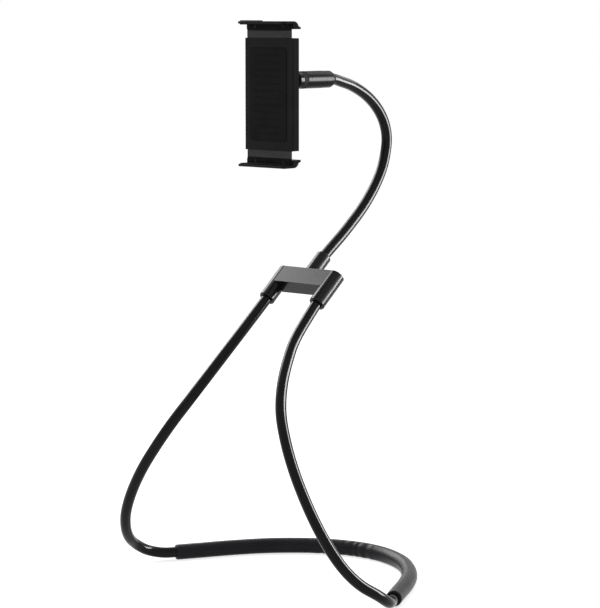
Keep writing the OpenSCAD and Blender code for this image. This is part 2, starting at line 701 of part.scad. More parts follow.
// Rack and pinion
base_r = pitch_r * cos(pressure_angle);
tip_r = pitch_r + pinion_tip_share * gear_module;
root_r = pitch_r - (rack_tip_share + root_gap_share) * gear_module;
function involute(a) = tan(a) * 180 / PI - a;
half_tooth = (0.25 - tooth_play_share / 2) * gear_pitch;
function flank(r) =
    half_tooth / pitch_r * 180 / PI + involute(pressure_angle) - involute(acos(base_r / r));
flank_steps = 4;
function flank_r(i) = base_r + (tip_r - base_r) * i / flank_steps;
module pinion() color([0.85, 0.84, 0.78]) in_clamp() {
    difference() {
        translate([0, pinion_front + pinion_t, 0]) rotate([90, 0, 0]) linear_extrude(pinion_t)
            polygon([for (k = [0:pinion_teeth - 1]) let (c = 360 * k / pinion_teeth) each concat(
                [root_r * [cos(c - flank(base_r)), sin(c - flank(base_r))]],
                [for (i = [0:flank_steps])
                    flank_r(i) * [cos(c - flank(flank_r(i))), sin(c - flank(flank_r(i)))]],
                [for (i = [flank_steps:-1:0])
                    flank_r(i) * [cos(c + flank(flank_r(i))), sin(c + flank(flank_r(i)))]],
                [root_r * [cos(c + flank(base_r)), sin(c + flank(base_r))]])]);
        small_bar(pin_d + 2 * run_gap, pinion_front - over, pinion_front + pinion_t + over);
    }
}
rack_root = pitch_r + (pinion_tip_share + root_gap_share) * gear_module;
// The springs run midway between the racks and the guide bosses
spring_x = (rack_root + rack_bar + guide_x - guide_d / 2) / 2;
rack_tip = pitch_r - rack_tip_share * gear_module;
slope = tan(pressure_angle);
// The rack's outline: a tooth gap is centred on the middle of the clamp
first_tooth = ceil(-rack_past / gear_pitch) + 1;
last_tooth = floor(rack_own / gear_pitch) - 1;
module upper_rack() color([0.8, 0.79, 0.74]) in_clamp() {
    root_half = half_tooth + (rack_root - pitch_r) * slope;
    tip_half = half_tooth - (pitch_r - rack_tip) * slope;
    translate([0, plate_back + rack_t, 0]) rotate([90, 0, 0]) linear_extrude(rack_t) polygon(concat(
        [[rack_root + rack_bar, -rack_past], [rack_root + rack_bar, rack_own], [rack_root, rack_own]],
        [for (k = [last_tooth:-1:first_tooth]) let (c = (k - 1 / 2) * gear_pitch) each [
            [rack_root, c + root_half], [rack_tip, c + tip_half],
            [rack_tip, c - tip_half], [rack_root, c - root_half]]],
        [[rack_root, -rack_past]]
    ));
    translate([rack_root, plate_back, rack_post_z - post_d / 2])
        cube([spring_x + post_d / 2 - rack_root, tab_t, tab_w]);
    translate([spring_x, 0, rack_post_z]) small_bar(post_d, plate_back, spring_y + spring_d / 2);
    for (z = rack_peg_z) translate([rack_root + rack_bar / 2, 0, z])
        small_bar(peg_d, plate_y, plate_back + over);
}
rack_post_z = 15;
tab_t = 1.5;
tab_w = 4;
peg_d = 2;
rack_peg_z = [14, 24];
module lower_rack() turned() upper_rack();

// Jaws
function jaw_outline() = concat(
    [[-jaw_front + edge_r / 2, jaw_in], [-jaw_front, jaw_in + jaw_t / 3]],
    [for (a = [180:-30:90]) [-jaw_front + nose + nose * cos(a), jaw_outer - nose + nose * sin(a)]],
    [for (a = [90:-10:20]) [curl_y + curl_r * cos(a), jaw_outer - curl_r + curl_r * sin(a)]],
    [[lip_back - lip_t / 4, block_low + lip_t], [lip_back, block_low + lip_t * 3 / 4],
     [lip_back, block_low + lip_t / 4], [lip_back - lip_t / 4, block_low],
     [plate_back, block_low], [plate_back, jaw_in]]
);
nose = 1.3;
curl_y = housing_back - curl_r + screw_rest;
module jaw_body() {
    intersection() {
        translate([-clamp_w / 2, 0, 0]) rotate([90, 0, 90]) linear_extrude(clamp_w) polygon(jaw_outline());
        translate([0, (lip_back - jaw_front) / 2, block_low - over])
            linear_extrude(jaw_drop + 2 * over) polygon(rounded(clamp_w, lip_back + jaw_front, corner_r));
    }
}
module jaw_holes() {
    both_sides() translate([jaw_screw_x, 0, jaw_screw_z])
        small_bar(jaw_screw_d + 2 * run_gap, plate_back - over, plate_back + jaw_screw_len);
}
module upper_jaw() color([0.16, 0.16, 0.17]) in_clamp() {
    difference() {
        union() {
            jaw_body();
            translate([-clamp_w / 2 + corner_r, -jaw_front + nose, jaw_outer - nose])
                cube([rib_w, rib_d, nose + rib_h]);
        }
        jaw_holes();
    }
}
module lower_jaw() color([0.16, 0.16, 0.17]) in_clamp() mirror([0, 0, 1]) {
    difference() {
        jaw_body();
        jaw_holes();
    }
}
module upper_jaw_pad() color([0.1, 0.1, 0.1]) in_clamp() {
    difference() {
        union() {
            translate([-jaw_pad_w / 2, -jaw_front + 2 * edge_r, jaw_gap / 2])
                cube([jaw_pad_w, jaw_front - 2 * edge_r + plate_y - slide_gap, jaw_pad_t]);
            translate([-jaw_pad_w / 2, flap_y, jaw_gap / 2 - flap_h])
                cube([jaw_pad_w, plate_y - slide_gap - flap_y, flap_h]);
        }
        both_sides() translate([jaw_screw_x, 0, jaw_screw_z])
            small_bar(jaw_head_d + 2 * screw_rest, flap_y - over, plate_y + over);
    }
}
flap_y = 0.7;
module lower_jaw_pad() turned() upper_jaw_pad();
module upper_slide_plate() color([0.62, 0.63, 0.65]) in_clamp() {
    difference() {
        translate([-plate_w / 2, plate_y, plate_in]) cube([plate_w, plate_t, jaw_in - plate_in]);
        both_sides() {
            translate([guide_x - guide_d / 2 - slide_gap, plate_y - over, guide_z - jaw_out])
                cube([guide_d + 2 * slide_gap, plate_t + 2 * over, jaw_out + jaw_inward]);
            for (z = [guide_z - jaw_out, guide_z + jaw_inward]) translate([guide_x, 0, z])
                small_bar(guide_d + 2 * slide_gap, plate_y - over, plate_back + over);
        }
        both_sides() translate([jaw_screw_x, 0, jaw_screw_z])
            small_bar(jaw_screw_d + 2 * run_gap, plate_y - over, plate_back + over);
        for (z = rack_peg_z) translate([rack_root + rack_bar / 2, 0, z])
            small_bar(peg_d + 2 * run_gap, plate_y - over, plate_back + over);
    }
}
module lower_slide_plate() turned() upper_slide_plate();
module upper_jaw_screws() color([0.6, 0.6, 0.62]) in_clamp() {
    both_sides() translate([jaw_screw_x, plate_y - jaw_head_t, jaw_screw_z]) rotate([-90, 0, 0])
        screw(jaw_screw_d, jaw_head_d, jaw_head_t, jaw_head_t + plate_t + jaw_screw_len - screw_rest);
}
module lower_jaw_screws() turned() upper_jaw_screws();

// Springs: a closed coil with an eye on the housing's post and an eye on the rack's post
module upper_spring() color([0.75, 0.75, 0.76]) in_clamp() translate([spring_x, spring_y, 0]) {
    eye_r = post_d / 2 + wire_d / 2 + seat_gap;
    for (z = [-post_z, rack_post_z]) translate([0, 0, z]) rotate([90, 0, 0])
        rotate_extrude($fn = small) translate([eye_r, 0, 0]) circle(d = wire_d, $fn = small);
    low = -post_z + eye_r;
    high = rack_post_z - eye_r;
    translate([0, 0, low]) difference() {
        cylinder(d = spring_d, h = high - low, $fn = small);
        translate([0, 0, wire_d])
            cylinder(d = spring_d - 2 * wire_d, h = high - low - 2 * wire_d, $fn = small);
    }
}
module lower_spring() turned() upper_spring();

neck_rest();
neck_tube();
neck_core();
left_bend_tube();
right_bend_tube();
left_leg_tube();
right_leg_tube();
hub_front_shell();
hub_rear_shell();
hub_screws();
left_leg_crimp();
right_leg_crimp();
arm_crimp();
arm_root_tube();
arm_core();
arm_low_bend_tube();
arm_low_tube();
arm_side_bend_tube();
arm_mid_tube();
arm_top_bend_tube();
arm_top_tube();
arm_ferrule();
socket_barrel();
locking_nut();
rear_ball_liner();
front_ball_liner();
ball_stud();
stud_nut();
stud_boss();
clamp_housing();
clamp_cover();
back_pad();
clamp_screws();
pinion_pin();
pinion();
upper_jaw();
upper_jaw_pad();
upper_slide_plate();
upper_rack();
upper_jaw_screws();
lower_jaw();
lower_jaw_pad();
lower_slide_plate();
lower_rack();
lower_jaw_screws();
upper_spring();
lower_spring();
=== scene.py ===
"""The looks of a neck phone holder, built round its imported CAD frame.

Everything is in metres and in the frame's own axes: the clamp faces -Y and up is +Z.
"""

import json
import math

import bpy
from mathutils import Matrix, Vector, noise

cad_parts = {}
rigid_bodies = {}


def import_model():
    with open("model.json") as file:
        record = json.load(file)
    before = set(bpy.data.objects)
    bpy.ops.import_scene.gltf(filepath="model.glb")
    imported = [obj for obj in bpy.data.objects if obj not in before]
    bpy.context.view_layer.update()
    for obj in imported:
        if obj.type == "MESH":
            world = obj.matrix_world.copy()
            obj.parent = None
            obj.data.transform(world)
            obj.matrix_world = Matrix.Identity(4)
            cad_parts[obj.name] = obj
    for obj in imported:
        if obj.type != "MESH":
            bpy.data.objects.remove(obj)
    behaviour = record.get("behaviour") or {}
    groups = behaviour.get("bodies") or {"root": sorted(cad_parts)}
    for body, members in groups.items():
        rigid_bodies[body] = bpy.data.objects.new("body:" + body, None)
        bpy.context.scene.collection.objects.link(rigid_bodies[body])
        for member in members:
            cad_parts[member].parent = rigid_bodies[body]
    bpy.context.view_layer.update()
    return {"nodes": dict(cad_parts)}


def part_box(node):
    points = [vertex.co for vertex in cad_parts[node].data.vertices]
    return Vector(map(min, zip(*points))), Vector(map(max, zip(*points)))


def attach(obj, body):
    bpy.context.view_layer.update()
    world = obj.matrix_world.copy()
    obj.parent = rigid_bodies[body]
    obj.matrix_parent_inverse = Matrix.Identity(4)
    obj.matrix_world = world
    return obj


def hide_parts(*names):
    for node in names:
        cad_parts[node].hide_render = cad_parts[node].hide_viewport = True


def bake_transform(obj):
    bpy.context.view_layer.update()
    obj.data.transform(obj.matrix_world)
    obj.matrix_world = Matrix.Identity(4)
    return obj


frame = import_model()
nodes = frame["nodes"]

# Sizes and places that the frame's own model gives, in metres
LOOP_W = 0.358
LOOP_DEPTH = 0.2436
TUBE_R = 0.006
BORE_R = 0.0032
CORE_R = 0.0029
REST_R = 0.0087
REST_BORE_R = 0.00645
REST_Z = 0.0082
REST_ROUND = 0.003
EDGE_SHARE = 0.45
REACH_Y = 0.1354
HUB = Vector((0, 0.0026, 0.3294))
HUB_TILT = math.radians(40)
HUB_LEN = 0.070
HUB_PITCH = 0.0728
TUBE_IN = 0.036
HEAD_Z = 0.5453
HEAD_END_Y = 0.0416
BARREL_TUBE_Y = 0.0101
STRAIGHT = 0.002
LEAD = 0.012
SPRING_R = 0.002
WIRE_R = 0.0003

# Fineness of the swept pieces: distances between their rings, and sides of their rings
PATH_GAP = 0.0012
PATH_PASSES = 6
TUBE_SIDES = 32
WIRE_SIDES = 10
REST_GAP = 0.0008
REST_SIDES = 56
SHARP = math.radians(50)

# The right leg and half of the nape from the hub on, as shares of half the width, of the loop's
# depth and of the hub mouth's height, and the arm as shares of its reach and its rise
LOOP_SHARES = (
    (0.220, 0.314, 0.895), (0.249, 0.238, 0.827), (0.299, 0.158, 0.743), (0.369, 0.092, 0.656),
    (0.461, 0.046, 0.568), (0.560, 0.016, 0.478), (0.662, 0.001, 0.387), (0.760, 0.004, 0.294),
    (0.844, 0.026, 0.209), (0.906, 0.066, 0.142), (0.956, 0.120, 0.091), (0.998, 0.189, 0.052),
    (0.993, 0.259, 0.018), (0.945, 0.324, 0.002), (0.897, 0.383, 0), (0.822, 0.485, 0),
    (0.736, 0.605, 0), (0.632, 0.726, 0), (0.502, 0.834, 0), (0.350, 0.923, 0),
    (0.172, 0.982, 0), (0, 1, 0),
)
ARM_SHARES = (
    (0.267, 0.103), (0.424, 0.169), (0.575, 0.237), (0.712, 0.311), (0.830, 0.390),
    (0.925, 0.474), (0.981, 0.563), (1.000, 0.655), (0.949, 0.747), (0.830, 0.831),
    (0.657, 0.902), (0.443, 0.956), (0.260, 0.984),
)
REST_START = 15


# Curves
def hub_point(along, across):
    """A place on the hub, along its sockets and across it."""
    return HUB + Vector((across, along * math.cos(HUB_TILT), along * math.sin(HUB_TILT)))


def mirrored(p):
    return Vector((-p.x, p.y, p.z))


def between(a, b, c, d, t):
    """A point of the smooth curve from b to c."""
    return (2 * b + (c - a) * t + (2 * a - 5 * b + 4 * c - d) * t * t
            + (3 * b - a - 3 * c + d) * t * t * t) / 2


def smooth(points, before, after, steps=12):
    """A dense smooth curve through the points."""
    line = [before, *points, after]
    out = []
    for i in range(1, len(points)):
        out += [between(*line[i - 1:i + 3], k / steps) for k in range(steps)]
    return out + [points[-1]]


def even(path, gap):
    """The path's points again, at even distances of about gap."""
    lengths = [0.0]
    for a, b in zip(path, path[1:]):
        lengths.append(lengths[-1] + (b - a).length)
    count = max(2, round(lengths[-1] / gap))
    out, k = [path[0].copy()], 0
    for i in range(1, count):
        want = lengths[-1] * i / count
        while lengths[k + 1] < want:
            k += 1
        out.append(path[k].lerp(path[k + 1], (want - lengths[k]) / (lengths[k + 1] - lengths[k])))
    return out + [path[-1].copy()]


def relaxed(path, passes):
    """The path with its small changes of bend evened out, with its ends kept."""
    for _ in range(passes):
        path = [path[0]] + [
            (path[i - 1] + 2 * path[i] + path[i + 1]) / 4 for i in range(1, len(path) - 1)
        ] + [path[-1]]
    return path


def nearest(path, point):
    return min(range(len(path)), key=lambda i: (path[i] - point).length)


sockets = Vector((0, math.cos(HUB_TILT), math.sin(HUB_TILT)))
leg_mouth = hub_point(-HUB_LEN / 2, HUB_PITCH / 2)
arm_mouth = hub_point(HUB_LEN / 2, 0)
half_loop = [leg_mouth - sockets * STRAIGHT] + [
    Vector((x * LOOP_W / 2, y * LOOP_DEPTH - REACH_Y, REST_Z + z * (leg_mouth.z - REST_Z)))
    for x, y, z in LOOP_SHARES
]
loop_points = half_loop + [mirrored(p) for p in reversed(half_loop[:-1])]
leg_lead = leg_mouth + sockets * LEAD
leg_inside = leg_mouth + sockets * TUBE_IN
loop_path = relaxed(even(
    [leg_inside] + smooth(loop_points, leg_lead, mirrored(leg_lead)) + [mirrored(leg_inside)],
    PATH_GAP), PATH_PASSES)
arm_points = [arm_mouth + sockets * STRAIGHT] + [
    Vector((0, arm_mouth.y + y * (REACH_Y - arm_mouth.y), arm_mouth.z + z * (HEAD_Z - arm_mouth.z)))
    for y, z in ARM_SHARES
] + [Vector((0, HEAD_END_Y + STRAIGHT, HEAD_Z))]
arm_path = relaxed(even(
    [arm_mouth - sockets * TUBE_IN]
    + smooth(arm_points, arm_mouth - sockets * LEAD, Vector((0, HEAD_END_Y - LEAD, HEAD_Z)))
    + [Vector((0, BARREL_TUBE_Y, HEAD_Z))],
    PATH_GAP), PATH_PASSES)


# Meshes
def heading(path, i):
    return (path[min(i + 1, len(path) - 1)] - path[max(i - 1, 0)]).normalized()


def swept(name, rings, closed_ends=True):
    """A mesh whose skin joins rings of the same number of points, one after the other."""
    n = len(rings[0])
    verts = [p for ring in rings for p in ring]
    faces = []
    for i in range(len(rings) - 1):
        for k in range(n):
            m = (k + 1) % n
            faces.append((i * n + k, (i + 1) * n + k, (i + 1) * n + m, i * n + m))
    end = (len(rings) - 1) * n
    if closed_ends:
        faces.append(tuple(range(n)))
        faces.append(tuple(end + k for k in range(n - 1, -1, -1)))
    else:
        faces += [(end + k, k, (k + 1) % n, end + (k + 1) % n) for k in range(n)]
    mesh = bpy.data.meshes.new(name)
    mesh.from_pydata([tuple(v) for v in verts], [], faces)
    mesh.validate()
    mesh.shade_smooth()
    mesh.set_sharp_from_angle(angle=SHARP)
    made = bpy.data.objects.new(name, mesh)
    bpy.context.scene.collection.objects.link(made)
    return made


def ring_at(path, i, radius, sides, up, shape=None):
    """A ring of points square to the path.

    shape, if given, adds to a point's radius from its place on the path and its way outward.
    """
    t = heading(path, i)
    a = t.cross(up).normalized()
    b = t.cross(a)
    out = []
    for k in range(sides):
        angle = 2 * math.pi * k / sides
        way = math.cos(angle) * b + math.sin(angle) * a
        r = radius if shape is None else radius + shape(way, i, angle)
        out.append(path[i] + r * way)
    return out


def sleeve(name, path, radius, bore, sides, up, first=0, last=None):
    """A hollow tube along a stretch of a path."""
    last = len(path) - 1 if last is None else last
    rings = [ring_at(path, i, radius, sides, up) for i in range(first, last + 1)]
    rings += [ring_at(path, i, bore, sides, up) for i in range(last, first - 1, -1)]
    return swept(name, rings, closed_ends=False)


def wire(name, path, radius, sides, up, first=0, last=None):
    last = len(path) - 1 if last is None else last
    return swept(name, [ring_at(path, i, radius, sides, up) for i in range(first, last + 1)])


# Materials
GRAIN_DEPTH = 0.0002
WAVE_DEPTH = 0.001
PORE_DEPTH = 0.0003
# The nut is matt from the end of its smooth nose on, in the frame's row
NOSE_END_Y = -0.0127
MATT_EDGE = 0.0003
MATT_MORE = 0.4


def node(tree, kind, **values):
    made = tree.nodes.new(kind)
    for key, value in values.items():
        if key in made.inputs:
            made.inputs[key].default_value = value
        else:
            setattr(made, key, value)
    return made


def noise_of(tree, place, scale, detail=4.0, stretch=(1, 1, 1)):
    mapping = node(tree, "ShaderNodeMapping")
    mapping.inputs["Scale"].default_value = stretch
    tree.links.new(place, mapping.inputs["Vector"])
    made = node(tree, "ShaderNodeTexNoise", Scale=scale, Detail=detail, Roughness=0.6)
    tree.links.new(mapping.outputs["Vector"], made.inputs["Vector"])
    return made.outputs["Fac"]


def bumped(tree, height, strength, distance, normal=None):
    """The normal after a bump of a strength, on top of another bump if one is given."""
    bump = node(tree, "ShaderNodeBump", Strength=strength, Distance=distance)
    tree.links.new(height, bump.inputs["Height"])
    if normal:
        tree.links.new(normal, bump.inputs["Normal"])
    return bump.outputs["Normal"]


def material(name, dark, light, rough, spread=0.05, patch=40, grain=2500, grain_bump=0.05,
             wave=120, wave_bump=0.0, stretch=(1, 1, 1), metallic=0.0, specular=0.5,
             sheen=0.0, cells=0.0, cell_scale=1500, matt_behind=None):
    """A finish with a drifting colour and roughness, a slow unevenness and a fine grain.

    matt_behind, if given, is the place along Y behind which the surface is matt.
    """
    made = bpy.data.materials.new(name)
    made.use_nodes = True
    tree = made.node_tree
    tree.nodes.clear()
    out = node(tree, "ShaderNodeOutputMaterial")
    skin = node(tree, "ShaderNodeBsdfPrincipled", Metallic=metallic)
    skin.inputs["Specular IOR Level"].default_value = specular
    skin.inputs["Sheen Weight"].default_value = sheen
    tree.links.new(skin.outputs["BSDF"], out.inputs["Surface"])
    place = node(tree, "ShaderNodeTexCoord").outputs["Object"]
    drift = noise_of(tree, place, patch, 5.0, stretch)
    colour = node(tree, "ShaderNodeValToRGB")
    for stop, position, shade in zip(colour.color_ramp.elements, (0.3, 0.7), (dark, light)):
        stop.position = position
        stop.color = (*shade, 1)
    tree.links.new(drift, colour.inputs["Fac"])
    tree.links.new(colour.outputs["Color"], skin.inputs["Base Color"])
    rub = node(tree, "ShaderNodeMapRange")
    rub.inputs["To Min"].default_value = rough - spread
    rub.inputs["To Max"].default_value = rough + spread
    tree.links.new(noise_of(tree, place, patch * 3, 6.0, stretch), rub.inputs["Value"])
    roughness = rub.outputs["Result"]
    if matt_behind is not None:
        axes = node(tree, "ShaderNodeSeparateXYZ")
        tree.links.new(place, axes.inputs["Vector"])
        step = node(tree, "ShaderNodeMapRange")
        for key, value in (("From Min", matt_behind), ("From Max", matt_behind + MATT_EDGE),
                           ("To Min", 0.0), ("To Max", MATT_MORE)):
            step.inputs[key].default_value = value
        tree.links.new(axes.outputs["Y"], step.inputs["Value"])
        total = node(tree, "ShaderNodeMath", operation="ADD")
        tree.links.new(roughness, total.inputs[0])
        tree.links.new(step.outputs["Result"], total.inputs[1])
        roughness = total.outputs[0]
    tree.links.new(roughness, skin.inputs["Roughness"])
    normal = bumped(tree, noise_of(tree, place, grain, 2.0, stretch), grain_bump,
                    GRAIN_DEPTH)
    if wave_bump:
        normal = bumped(tree, noise_of(tree, place, wave, 2.0), wave_bump, WAVE_DEPTH, normal)
    if cells:
        cell = node(tree, "ShaderNodeTexVoronoi", Scale=cell_scale)
        tree.links.new(place, cell.inputs["Vector"])
        normal = bumped(tree, cell.outputs["Distance"], cells, PORE_DEPTH, normal)
    tree.links.new(normal, skin.inputs["Normal"])
    return made


tube_skin = material("tube_sleeve", (0.004, 0.004, 0.005), (0.007, 0.007, 0.008), 0.17, 0.03,
                     grain=600, grain_bump=0.005, wave=90, wave_bump=0.005, specular=0.12)
foam_skin = material("rest_foam", (0.014, 0.014, 0.017), (0.021, 0.020, 0.025), 0.34, 0.05,
                     patch=25, grain=1400, grain_bump=0.2, wave=70, wave_bump=0.1,
                     cells=0.15, cell_scale=1600, sheen=0.05, specular=0.08)
hub_skin = material("hub_plastic", (0.006, 0.006, 0.007), (0.010, 0.010, 0.011), 0.24, 0.03,
                    grain=1200, grain_bump=0.004, wave=60, wave_bump=0.005, specular=0.16)
head_skin = material("head_metal", (0.006, 0.006, 0.007), (0.010, 0.010, 0.011), 0.3, 0.02,
                     grain=1800, grain_bump=0.01, specular=0.04)
nut_skin = material("nut_metal", (0.006, 0.006, 0.007), (0.010, 0.010, 0.011), 0.24, 0.02,
                    grain=1800, grain_bump=0.01, specular=0.05, matt_behind=NOSE_END_Y)
ball_skin = material("dark_nickel", (0.16, 0.16, 0.165), (0.22, 0.22, 0.225), 0.2, 0.03,
                     grain=1800, grain_bump=0.01, metallic=1.0)
clamp_skin = material("clamp_plastic", (0.009, 0.009, 0.010), (0.015, 0.015, 0.016), 0.5, 0.06,
                      grain=2600, grain_bump=0.2, specular=0.08)
jaw_skin = material("jaw_plastic", (0.008, 0.008, 0.009), (0.014, 0.014, 0.015), 0.46, 0.06,
                    grain=2600, grain_bump=0.2, specular=0.08)
rubber_skin = material("soft_rubber", (0.006, 0.006, 0.006), (0.012, 0.012, 0.012), 0.7, 0.06,
                       grain=2000, grain_bump=0.4, specular=0.08)
black_steel_skin = material("black_steel", (0.018, 0.018, 0.019), (0.03, 0.03, 0.031), 0.35, 0.08,
                            metallic=1.0)
steel_skin = material("bright_steel", (0.42, 0.42, 0.43), (0.58, 0.58, 0.59), 0.3, 0.08,
                      stretch=(1, 1, 12), metallic=1.0)
plate_skin = material("black_plate", (0.018, 0.018, 0.019), (0.032, 0.032, 0.033), 0.38, 0.06,
                      stretch=(1, 1, 8), metallic=0.6)
alloy_skin = material("soft_alloy", (0.5, 0.5, 0.51), (0.66, 0.66, 0.67), 0.4, 0.08, metallic=1.0)
liner_skin = material("liner_plastic", (0.010, 0.010, 0.011), (0.018, 0.018, 0.019), 0.5, 0.06,
                      specular=0.2)
gear_skin = material("gear_plastic", (0.62, 0.60, 0.54), (0.72, 0.70, 0.64), 0.45, 0.06)


def dress(skin, *names):
    for name in names:
        mesh = nodes[name].data
        mesh.materials.clear()
        mesh.materials.append(skin)


dress(hub_skin, "hub_front_shell", "hub_rear_shell")
dress(steel_skin, "hub_screws", "clamp_screws", "stud_nut", "pinion_pin")
dress(ball_skin, "ball_stud")
dress(black_steel_skin, "upper_jaw_screws", "lower_jaw_screws")
dress(alloy_skin, "left_leg_crimp", "right_leg_crimp", "arm_crimp")
dress(head_skin, "arm_ferrule", "socket_barrel")
dress(nut_skin, "locking_nut")
dress(liner_skin, "rear_ball_liner", "front_ball_liner")
dress(clamp_skin, "clamp_housing", "clamp_cover", "stud_boss")
dress(jaw_skin, "upper_jaw", "lower_jaw")
dress(rubber_skin, "back_pad", "upper_jaw_pad", "lower_jaw_pad")
dress(plate_skin, "upper_slide_plate", "lower_slide_plate")
dress(gear_skin, "pinion", "upper_rack", "lower_rack")


WELD_GAP = 0.00001
FLAT_ANGLE = math.radians(0.5)
EDGE_ANGLE = math.radians(35)


def soften(width, *names):
    """Small rounded edges on the hard solids, so that they catch light as moulded ones do."""
    for name in names:
        solid = nodes[name]
        weld = solid.modifiers.new("weld", "WELD")
        weld.merge_threshold = WELD_GAP
        flat = solid.modifiers.new("flat", "DECIMATE")
        flat.decimate_type = "DISSOLVE"
        flat.angle_limit = FLAT_ANGLE
        bevel = solid.modifiers.new("bevel", "BEVEL")
        bevel.width = width
        bevel.segments = 2
        bevel.limit_method = "ANGLE"
        bevel.angle_limit = EDGE_ANGLE
        bevel.harden_normals = False
        bevel.use_clamp_overlap = True
        tidy = solid.modifiers.new("normals", "WEIGHTED_NORMAL")
        tidy.keep_sharp = False


soften(0.0006, "hub_front_shell", "hub_rear_shell")
soften(0.0003, "arm_ferrule", "socket_barrel", "locking_nut", "upper_jaw", "lower_jaw",
       "clamp_housing", "clamp_cover")

# The bendable tubes
UP = Vector((0, 0, 1))
SIDE = Vector((1, 0, 0))


def finished(piece, skin, slot, *replaced):
    piece.data.materials.append(skin)
    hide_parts(*replaced)
    return piece


loop_sleeve = finished(
    sleeve("loop_sleeve", loop_path, TUBE_R, BORE_R, TUBE_SIDES, UP), tube_skin, "tube",
    "neck_tube", "left_bend_tube", "right_bend_tube", "left_leg_tube", "right_leg_tube")
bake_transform(loop_sleeve)
loop_wire = finished(wire("loop_wire", loop_path, CORE_R, WIRE_SIDES, UP), alloy_skin, "core_wire",
                     "neck_core")
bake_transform(loop_wire)

ARM_BENDS = (
    ("low", "legs", "arm_lower", (0, 0.0309, 0.3532), (0, 0.0744, 0.3846)),
    ("side", "arm_lower", "arm_middle", (0, 0.0904, 0.3977), (0, 0.1275, 0.4436)),
    ("top", "arm_middle", "arm_head", (0, 0.1334, 0.4608), (0, 0.1174, 0.5126)),
)
ARM_NODES = {
    "low": ("arm_root_tube", "arm_low_bend_tube", "arm_low_tube"),
    "side": ("arm_side_bend_tube", "arm_mid_tube"),
    "top": ("arm_top_bend_tube", "arm_top_tube"),
}
joins = [nearest(arm_path, (Vector(low[4]) + Vector(high[3])) / 2)
         for low, high in zip(ARM_BENDS, ARM_BENDS[1:])]
spans = list(zip([0] + joins, joins + [len(arm_path) - 1]))
for (label, lower, upper, start, end), (first, last) in zip(ARM_BENDS, spans):
    piece = sleeve(f"arm_{label}_sleeve", arm_path, TUBE_R, BORE_R, TUBE_SIDES, SIDE, first, last)
    finished(piece, tube_skin, "tube", *ARM_NODES[label])
    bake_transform(piece)
    core = wire(f"arm_{label}_wire", arm_path, CORE_R, WIRE_SIDES, SIDE, first, last)
    finished(core, alloy_skin, "core_wire", "arm_core")
    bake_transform(core)

# The foam rest, with the folds that it gets where it is bent
rest_first = nearest(loop_path, half_loop[REST_START])
rest_path = even(loop_path[rest_first:len(loop_path) - rest_first], REST_GAP)
last_ring = len(rest_path) - 1


def bend_at(path, i, reach=12):
    """Which way a path bends at a place."""
    a, b, c = path[max(i - reach, 0)], path[i], path[min(i + reach, len(path) - 1)]
    return (a + c) / 2 - b


def crease_places(seed, count, first, last):
    """Places of creases, uneven but always the same."""
    gap = (last - first) / count
    return [first + gap * (k + 0.8 * noise.noise(Vector((k * 1.7, seed, 0)))) for k in range(count)]


# The folds' depth, their width and lean as shares of the rest's length, and the foam's unevenness
FOLD_DEPTH = 0.0009
FOLD_WIDTH = 0.0062
FOLD_LEAN = 0.0035
LUMP = 0.00015
# Creases across the inner side: where the rest is bent most, as shares of its length
CREASES = crease_places(1.3, 5, 0.485, 0.590) + crease_places(4.1, 3, 0.610, 0.690)


def rest_shape(way, i, angle):
    """What the folds and the foam's slow unevenness add to the rest's radius."""
    along = i / last_ring
    inner = max(0.0, way.dot(bend_at(rest_path, i).normalized()) + 0.25)
    soft = noise.noise(Vector((along * 14, math.sin(angle), math.cos(angle))))
    depth = 0.0
    for k, place in enumerate(CREASES):
        lean = FOLD_LEAN * noise.noise(Vector((k * 2.3, 3 * math.sin(angle), 3 * math.cos(angle))))
        off = (along - place - lean) / FOLD_WIDTH
        if abs(off) < 3:
            strength = 0.55 + 0.6 * noise.noise(Vector((k * 3.1, 1.5 * math.sin(angle), 9.0)))
            depth += strength * (math.exp(-off * off) - 0.45 * math.exp(-(abs(off) - 1.5) ** 2))
    ends = min(1.0, 12 * min(along, 1 - along))
    return ends * LUMP * soft - FOLD_DEPTH * min(1.0, inner) * depth


def rest_ring(i, radius, shape=None):
    return [Vector((p.x, p.y, max(p.z, 0.0)))
            for p in ring_at(rest_path, i, radius, REST_SIDES, UP, shape)]


rings = []
for i in range(last_ring + 1):
    near = min(i, last_ring - i) * REST_GAP
    drop = 0.0
    if near < REST_ROUND:
        edge = 1 - near / REST_ROUND
        drop = EDGE_SHARE * (REST_R - REST_BORE_R) * (1 - math.sqrt(1 - edge ** 2))
    rings.append(rest_ring(i, REST_R - drop, rest_shape))
rings += [rest_ring(i, REST_BORE_R) for i in range(last_ring, -1, -1)]
rest = finished(swept("rest_sleeve", rings, closed_ends=False), foam_skin, "foam", "neck_rest")
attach(rest, "neck_loop")


# The jaw springs, as open coils with an eye at each end
EYE_R = 0.0016
COIL_PITCH = 0.0007
COIL_STEPS = 14
COIL_WIRE_SIDES = 6
COIL_UP = Vector((0.3, 1, 0.2))


def coil(name, x, y, low, high):
    """A wound spring between two posts."""
    start, length = low + EYE_R, high - low - 2 * EYE_R
    turns = round(length / COIL_PITCH)
    wind = 2 * math.pi / COIL_STEPS
    coil_r = SPRING_R - WIRE_R
    line = []
    for k in range(COIL_STEPS):
        a = wind * k + math.pi / 2
        line.append(Vector((x + EYE_R * math.cos(a), y, low + EYE_R * math.sin(a))))
    for k in range(turns * COIL_STEPS + 1):
        a = wind * k
        rise = length * k / (turns * COIL_STEPS)
        line.append(Vector((x + coil_r * math.cos(a), y + coil_r * math.sin(a), start + rise)))
    for k in range(COIL_STEPS):
        a = -wind * k - math.pi / 2
        line.append(Vector((x + EYE_R * math.cos(a), y, high + EYE_R * math.sin(a))))
    return wire(name, line, WIRE_R, COIL_WIRE_SIDES, COIL_UP)


